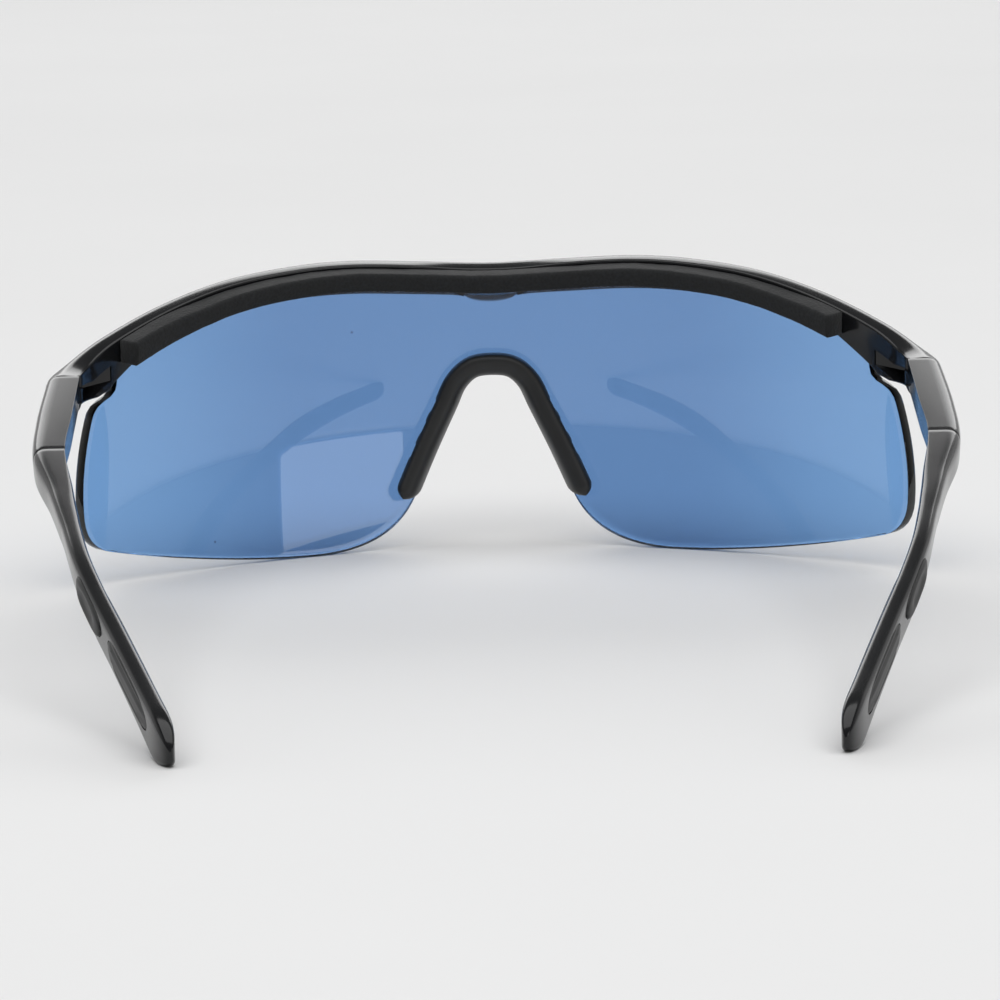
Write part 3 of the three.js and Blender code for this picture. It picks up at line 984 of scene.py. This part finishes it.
@dataclass
class NoseBridge:
    """The soft saddle clipped over the lens's nose notch."""

    width: float = 3.8
    flare: float = 0.14
    squareness: float = 3.0
    end_rounding: float = 1.9
    vents: tuple[float, ...] = (15.6, 19.2, 22.8)
    vent_length: float = 1.5
    vent_depth: float = 0.55
    half_line: tuple[Pair, ...] = ((0, 29.9), (3.2, 29.4), (5.7, 27.1), (7.5, 23.3), (10.8, 16.4), (14.3, 8.6))

    def spine(self, count: int) -> np.ndarray:
        """Points along the saddle from the wearer's right, as (x, z)."""
        half = np.array(self.half_line, float)
        return evenly(through(np.concatenate([half[:0:-1] * (-1, 1), half]), 400), count)

    def build(self) -> None:
        """Builds the saddle with its vent slots."""
        count, around = 150, 40
        line = self.spine(count)
        run = float(np.linalg.norm(np.diff(line, axis=0), axis=1).sum())
        rings = []
        for i, (x, z) in enumerate(line):
            ahead, behind = line[min(i + 1, count)], line[max(i - 1, 0)]
            tx, tz = (ahead - behind) / np.linalg.norm(ahead - behind)
            from_end = min(i, count - i) / count * run
            close = math.sqrt(max(0.04, 1 - max(0.0, 1 - from_end / self.end_rounding) ** 2))
            back = mix(5.4, 10.4, clamp((29.7 - z) / 20) ** 1.3)
            front = -1.3 + bow(z) + x * x / (2 * LENS_RADIUS)
            half_deep = (back - front) / 2 * (0.72 + 0.28 * close)
            ring = superellipse(self.width / 2 * close, half_deep, self.squareness, around)
            points = []
            for across, deep in ring:
                y = (front + back) / 2 + deep
                out = across - self.flare * max(0.0, y - front) + self.vent(across, deep, z, back - front)
                points.append((x + tz * out, y, z - tx * out))
            rings.append(points)
        piece = loft("nose_saddle", rings)
        room, _ = Lens(columns=70, rows=10).body("cutter", -0.12, LENS_THICKNESS + 0.12, 0.12)
        combine(piece, [room])
        shade(piece, 40)
        seat(piece, "front", Slot.RUBBER, "nose_bridge", RUBBER)

    def vent(self, across: float, deep: float, z: float, depth: float) -> float:
        """How far a point of the outer flank is drawn in by the vent slots.

        Args:
            across: The point's place across the leg, negative on the outer flank.
            deep: Its place front to back.
            z: Its height.
            depth: The leg's depth there.

        Returns:
            The distance, in millimetres.
        """
        if across > -0.6 * self.width / 2:
            return 0.0
        band = smoothstep(deep / depth, 0.02, 0.12) * (1 - smoothstep(deep / depth, 0.26, 0.36))
        half = self.vent_length / 2
        along = max(1 - smoothstep(abs(z - vent), half, half + 0.5) for vent in self.vents)
        return self.vent_depth * band * along


# ---- Temples ----


class GripFace(Enum):
    """The shape of a grip's outer surface."""

    DISHED = "dished"
    RIDGED = "ridged"
    STOPPED = "stopped"


@dataclass(frozen=True)
class Grip:
    """A soft grip let into one face of a temple arm."""

    name: str
    face: int
    start: float
    end: float
    proud: float
    surface: GripFace
    high: float = 3.6
    sunk: float = 0.6
    rise: float = 0.4

    def lift(self, u: float, v: float) -> float:
        """How far the surface stands off its plain shape.

        Args:
            u: Place along the grip, -1 to 1.
            v: Place across it, -1 to 1.

        Returns:
            The distance outwards, in millimetres.
        """
        if self.surface is GripFace.DISHED:
            return -0.42 * (1 - smoothstep(math.hypot(u, v), 0.35, 0.85))
        if self.surface is GripFace.RIDGED:
            return -0.16 * math.cos(math.tau * 1.5 * v) * (1 - smoothstep(abs(u), 0.7, 0.95)) - 0.08
        bump = math.exp(-(((u + 0.93) / 0.035) ** 2))
        return 0.45 * bump * (1 - v * v) - 0.05

    def rings(self, shape: "TempleShape", grow: float = 0.0) -> list[list[Triple]]:
        """The grip's cross-sections.

        Args:
            shape: The arm's shape.
            grow: How much larger it is all round, for its recess.

        Returns:
            The rings.
        """
        count = 90 if self.end - self.start > 30 else 48
        rings = []
        for u in spread(-1, 1, count):
            y = mix(self.start - grow, self.end + grow, (u + 1) / 2)
            size = max(math.sqrt(max(0.0, 1 - abs(u) ** 5)), 0.12)
            centre = self.face * (shape.wide(y) / 2 + (self.proud - self.sunk) / 2)
            middle = shape.top(y) - shape.high(y) / 2 + self.rise
            ring = []
            half_wide, half_high = (self.proud + self.sunk) / 2 * size + grow, self.high / 2 * size + grow
            for across, up in superellipse(half_wide, half_high, 3, 32):
                outward = across * self.face > 0
                raised = self.face * self.lift(u, 2 * up / self.high) * size if outward and not grow else 0.0
                ring.append((shape.x(y) + centre + across + raised, y, middle + up))
            rings.append(ring)
        return rings


class TempleShape:
    """Where a temple runs and how thick it is, for the wearer's left."""

    def __init__(self) -> None:
        """Sets out the lines."""
        self.x = Profile(
            (30, 68.1), (40, 68.55), (54, 68.9), (67, 68.7), (80, 65.9), (92, 63.5), (102, 61.4), (112, 58.5),
            (124, 54.6), (138, 50.2), (150, 46.5), (156, 44.7),
        )
        self.top = Profile(
            (30, 38.6), (40, 36.1), (67, 29.3), (80, 26), (92, 22.9), (102, 20.2), (112, 17.1), (124, 13.4),
            (138, 9.3), (147, 6.8), (156, 4.2),
        )
        self.high = Profile(
            (30, 5.9), (67, 5.7), (82, 5.1), (96, 4.8), (108, 5.9), (120, 6.3), (138, 6.6), (146, 7.1), (150, 6.9),
            (156, 6.4),
        )
        self.wide = Profile(
            (30, 5.5), (40, 5.6), (54, 5.9), (67, 5.15), (77, 4.2), (88, 3.4), (100, 3), (156, 2.9)
        )

    def ring(self, y: float, shrink: float = 1.0) -> list[Triple]:
        """One cross-section: a soft rectangle, narrower below, with a well rounded outer top edge.

        Args:
            y: Place along the temple.
            shrink: Size against the full section.

        Returns:
            The ring of points.
        """
        half_wide, half_high, x = self.wide(y) / 2, self.high(y) / 2, self.x(y)
        z = self.top(y) - half_high
        slim = smoothstep(y, 68, 86)
        tip = smoothstep(y, 120, 146)
        draft = mix(0.35, 0.04, tip)
        corners = (
            (-half_wide + draft, -half_high), (half_wide - draft, -half_high), (half_wide, half_high),
            (-half_wide, half_high),
        )
        radii = (
            mix(mix(0.8, 1.0, slim), 1.38, tip), mix(1.1, 1.38, tip), mix(2.7, 1.5, slim), mix(0.22, 1.35, slim)
        )
        ring = []
        for across, up in eased(corners, radii, 9):
            ring.append((x + across * shrink, y, max(0.0, z + up * shrink)))
        return ring

    def capped(self, end: float, way: int) -> list[list[Triple]]:
        """The two rings that round the rim of an end, with way as 1 where the temple goes on towards +Y."""
        return [pinched(self.ring(end), 0.06), pinched(self.ring(end + 0.03 * way), 0.02)][::way]


@dataclass
class Temple:
    """One temple: the hinge block, the arm that slides in it and the arm's grips."""

    side: Side
    shape: TempleShape = field(default_factory=TempleShape)
    block_start: float = 40.15
    block_end: float = 66.7
    arm_end: float = 151.7
    knuckle_radius: float = 1.9
    slot: Pair = (31.3, 33.9)
    tongue: Pair = (2.2, 2.8)
    tongue_length: float = 19.0
    socket_length: float = 21.0
    recess_gap: float = 0.1
    grips: tuple[Grip, ...] = (
        Grip("outer_front_grip", 1, 106, 119, 0.4, GripFace.DISHED),
        Grip("outer_rear_grip", 1, 123, 144.5, 0.25, GripFace.RIDGED),
        Grip("inner_grip", -1, 108, 146, 0.4, GripFace.STOPPED),
    )

    def body(self, name: str, rings: Sequence[Sequence[Triple]]) -> Object:
        """A loft on this side of the glasses."""
        sign = self.side.value
        return loft(name, [[(sign * x, y, z) for x, y, z in ring] for ring in rings])

    def tongue_body(self, start: float, end: float, grow: float) -> Object:
        """The straight bar that slides inside the hinge block.

        Args:
            start: Where it starts along Y.
            end: Where it ends.
            grow: How much larger it is all round, for its socket.

        Returns:
            The object.
        """
        wide, high = self.tongue[0] / 2 + grow, self.tongue[1] / 2 + grow
        corners = eased(((-wide, -high), (wide, -high), (wide, high), (-wide, high)), (0.3,) * 4, 2)
        rings = [
            [(68.7 + across, y, 26.3 - 0.25 * (y - 67) + up) for across, up in corners] for y in (start, end)
        ]
        return self.body("tongue", rings)

    def build_block(self) -> None:
        """Builds the hinge block with its knuckle, bore and socket."""
        start, end = self.block_start, self.block_end
        stations = spread(start + 0.12, end - 0.12, 34)
        rings = [*self.shape.capped(start, 1), *map(self.shape.ring, stations), *self.shape.capped(end, -1)]
        piece = self.body(self.side.named("hinge_housing"), rings)
        low, high = self.slot[0] + GAP, self.slot[1] - GAP
        sign = self.side.value
        neck = ((PIVOT_X - 1.5, PIVOT_Y), (69.3, PIVOT_Y), (69.3, start + 2), (PIVOT_X - 1.5, start + 2))
        knuckle = upright_cylinder(sign * PIVOT_X, PIVOT_Y, self.knuckle_radius, low, high)
        combine(piece, [prism([(sign * x, y) for x, y in neck], low, high), knuckle], "UNION")
        bore = upright_cylinder(sign * PIVOT_X, PIVOT_Y, BORE_RADIUS, 28, 38)
        combine(piece, [bore, self.tongue_body(end - self.socket_length, end + 1, GAP)])
        shade(piece)
        seat(piece, self.side.named("block"), Slot.GLOSS, self.side.named("hinge_block"), GLOSS)

    def build_arm(self) -> None:
        """Builds the arm, its tongue and the recesses for its grips."""
        start = self.block_end + GAP
        rings = [*self.shape.capped(start, 1), *map(self.shape.ring, spread(start + 0.12, 145, 96))]
        for y in (145.6, 146.4, 147.2, 148, 148.7, 149.3, 149.9, 150.4, 150.8, 151.1, 151.35, 151.52, 151.62, 151.68):
            rings.append(self.shape.ring(y, (1 - ((y - 145) / (self.arm_end - 145)) ** 2.6) ** 0.5))
        piece = self.body(self.side.named("arm"), rings)
        combine(piece, [self.tongue_body(start - self.tongue_length, start + 3, 0)], "UNION")
        combine(piece, [self.body("cutter", grip.rings(self.shape, self.recess_gap)) for grip in self.grips])
        shade(piece)
        seat(piece, self.side.named("arm"), Slot.GLOSS, self.side.named("temple_arm"), GLOSS)

    def build(self) -> None:
        """Builds the temple's pieces, and dresses the hinge pin that the frame brings."""
        self.build_block()
        self.build_arm()
        for grip in self.grips:
            piece = self.body(self.side.named(grip.name.replace("grip", "pad")), grip.rings(self.shape))
            shade(piece, 45)
            seat(piece, self.side.named("arm"), Slot.RUBBER, self.side.named(grip.name), RUBBER)
        pin = frame["nodes"][self.side.named("hinge_pin")]
        for slot in pin.material_slots:
            slot.material = STEEL


# ---- Studio ----


@dataclass(frozen=True)
class Softbox:
    """A rectangular soft light."""

    name: str
    position: Triple
    target: Triple
    size: Pair
    power: float

    def build(self) -> None:
        """Puts up the light."""
        lamp = bpy.data.lights.new(self.name, "AREA")
        lamp.shape = "RECTANGLE"
        lamp.size, lamp.size_y = self.size
        lamp.energy = self.power
        light = bpy.data.objects.new(self.name, lamp)
        light.location = self.position
        aim = Vector(self.target) - Vector(self.position)
        light.rotation_euler = aim.to_track_quat("-Z", "Y").to_euler()
        light.visible_camera = False
        bpy.context.scene.collection.objects.link(light)


@dataclass
class Studio:
    """The pale floor, the lights and the camera."""

    floor_size: float = 6.0
    floor_cuts: int = 24
    floor_drop: float = 0.00004
    pale_room: float = 0.62
    dim_room: float = 0.16
    ceiling: float = 0.16
    room_fade: Pair = (-0.55, 0.55)
    ceiling_fade: Pair = (0.3, 0.6)
    eye: Triple = (6.232, 747.011, 152.589)
    elevation: float = 11.05
    swing: float = 0.55
    roll: float = -1.13
    focal_length: float = 162.3
    lights: tuple[Softbox, ...] = (
        Softbox("overhead", (0.0, 0.32, 1.3), (0.0, 0.1, 0.0), (2.4, 1.6), 20.8),
        Softbox("far_softbox", (0.0, -1.5, 0.8), (0.0, 0.0, 0.02), (2.2, 0.62), 10.0),
        Softbox("low_window", (-0.563, 0.848, 0.173), (0.03, -0.065, 0.02), (0.5, 0.31), 0.8),
    )

    def build_floor(self) -> None:
        """Lays a pale floor with a faint mottle."""
        cuts = self.floor_cuts
        steps = spread(-self.floor_size / 2, self.floor_size / 2, cuts)
        corners = [j * (cuts + 1) + i for j in range(cuts) for i in range(cuts)]
        mesh = bpy.data.meshes.new("floor")
        mesh.from_pydata(
            [(x, y, -self.floor_drop) for y in steps for x in steps], [],
            [(a, a + 1, a + cuts + 2, a + cuts + 1) for a in corners],
        )
        floor = bpy.data.objects.new("floor", mesh)
        bpy.context.scene.collection.objects.link(floor)
        material, sheet, shader = start_material("pale_floor")
        mottle = sheet.texture("Noise", Scale=9.0, Detail=4.0)
        sheet.join(sheet.blend(mottle.outputs["Fac"], (0.8,) * 3, (0.83,) * 3), shader.inputs["Base Color"])
        shader.inputs["Roughness"].default_value = 0.75
        shader.inputs["Specular IOR Level"].default_value = 0.2
        mesh.materials.append(material)

    def build_camera(self) -> None:
        """Places the camera behind and a little above the glasses."""
        tilt, swing, roll = (math.radians(angle) for angle in (self.elevation, self.swing, self.roll))
        back = Vector((math.sin(swing) * math.cos(tilt), math.cos(swing) * math.cos(tilt), math.sin(tilt)))
        right = (-back).cross(Vector((0, 0, 1))).normalized()
        up = right.cross(-back)
        level, upright = right * math.cos(roll) + up * math.sin(roll), up * math.cos(roll) - right * math.sin(roll)
        turn = Matrix((level, upright, back)).transposed().to_4x4()
        view = bpy.data.cameras.new("camera")
        view.lens, view.sensor_width = self.focal_length, 36.0
        view.clip_start, view.clip_end = 0.01, 50.0
        camera = bpy.data.objects.new("camera", view)
        camera.matrix_world = Matrix.Translation(to_frame(self.eye)) @ turn
        bpy.context.scene.collection.objects.link(camera)
        bpy.context.scene.camera = camera

    def build_world(self) -> None:
        """Surrounds the table with a room that is pale in front of the glasses, and dim behind and above them."""
        world = bpy.data.worlds.new("studio")
        world.use_nodes = True
        sheet = NodeSheet(world.node_tree)
        way = sheet.add("ShaderNodeSeparateXYZ", Vector=sheet.add("ShaderNodeTexCoord").outputs["Generated"])
        share = sheet.ramp(way.outputs["Y"], *self.room_fade)
        colour = sheet.blend(share, (self.pale_room,) * 3, (self.dim_room,) * 3)
        colour = sheet.blend(sheet.ramp(way.outputs["Z"], *self.ceiling_fade), colour, (self.ceiling,) * 3)
        sheet.add("ShaderNodeOutputWorld", Surface=sheet.add("ShaderNodeBackground", Color=colour).outputs[0])
        bpy.context.scene.world = world

    def build(self) -> None:
        """Sets up the floor, the world, the lights and the camera."""
        self.build_camera()
        self.build_floor()
        self.build_world()
        bpy.context.scene.view_settings.view_transform = "Standard"
        for light in self.lights:
            light.build()


def main() -> None:
    """Builds the studio and the glasses in order."""
    logging.basicConfig(level=logging.INFO, format="%(name)s: %(message)s")
    Studio().build()
    for part in (BrowFrame(), Lens(), BrowPad(), NoseBridge(), *map(Temple, Side)):
        part.build()


if __name__ == "__main__":
    main()
